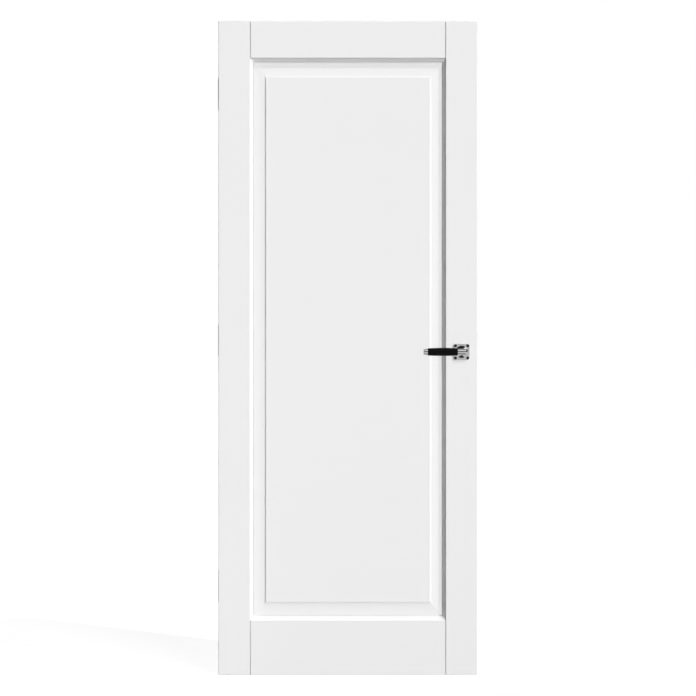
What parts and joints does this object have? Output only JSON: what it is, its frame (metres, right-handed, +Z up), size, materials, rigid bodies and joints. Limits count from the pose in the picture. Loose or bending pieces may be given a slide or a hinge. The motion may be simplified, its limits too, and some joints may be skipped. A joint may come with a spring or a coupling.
{
  "type": "interior door",
  "caption": "White stile and rail interior door with a raised panel, nickel lever handles with black grips on square roses, and butt hinges that carry it on its jamb.",
  "frame": {"origin": "on the jamb face of the middle hinge, at the hinge's middle height and the middle of the door's thickness", "axes": "+Z up along the stiles, +X from the jamb to the lock edge, -Y out of the front face"},
  "size_m": [0.8434, 0.166, 2.115],
  "materials": {
    "white_lacquer": "satin",
    "nickel": "polished",
    "ebony": "satin",
    "steel": "satin"
  },
  "bodies": {
    "jamb_leaves": {"upper_jamb_leaf": "steel", "upper_hinge_pin": "steel", "middle_jamb_leaf": "steel", "middle_hinge_pin": "steel", "lower_jamb_leaf": "steel", "lower_hinge_pin": "steel"},
    "door": {"hinge_stile": "white_lacquer", "lock_stile": "white_lacquer", "top_rail": "white_lacquer", "bottom_rail": "white_lacquer", "panel": "white_lacquer", "lock_case": "steel", "lock_forend": "steel", "latch_bolt": "steel", "front_rose": "nickel", "front_boss": "nickel", "back_rose": "nickel", "back_boss": "nickel", "upper_door_leaf": "steel", "middle_door_leaf": "steel", "lower_door_leaf": "steel"},
    "lever": {"spindle": "steel", "front_lever": "nickel", "front_grip": "ebony", "front_ferrule": "nickel", "back_lever": "nickel", "back_grip": "ebony", "back_ferrule": "nickel"}
  },
  "joints": [
    {"name": "door_swing", "type": "hinge", "parent": "jamb_leaves", "child": "door", "pos_m": [0.0028, 0.0265, 0], "axis": [0, 0, 1], "range_deg": [0, 170]},
    {"name": "lever_turn", "type": "hinge", "parent": "door", "child": "lever", "pos_m": [0.7882, 0, -0.0375], "axis": [0, -1, 0], "range_deg": [0, 45], "stiffness_Nm_per_rad": 0.5, "springref_deg": -45.84}
  ]
}
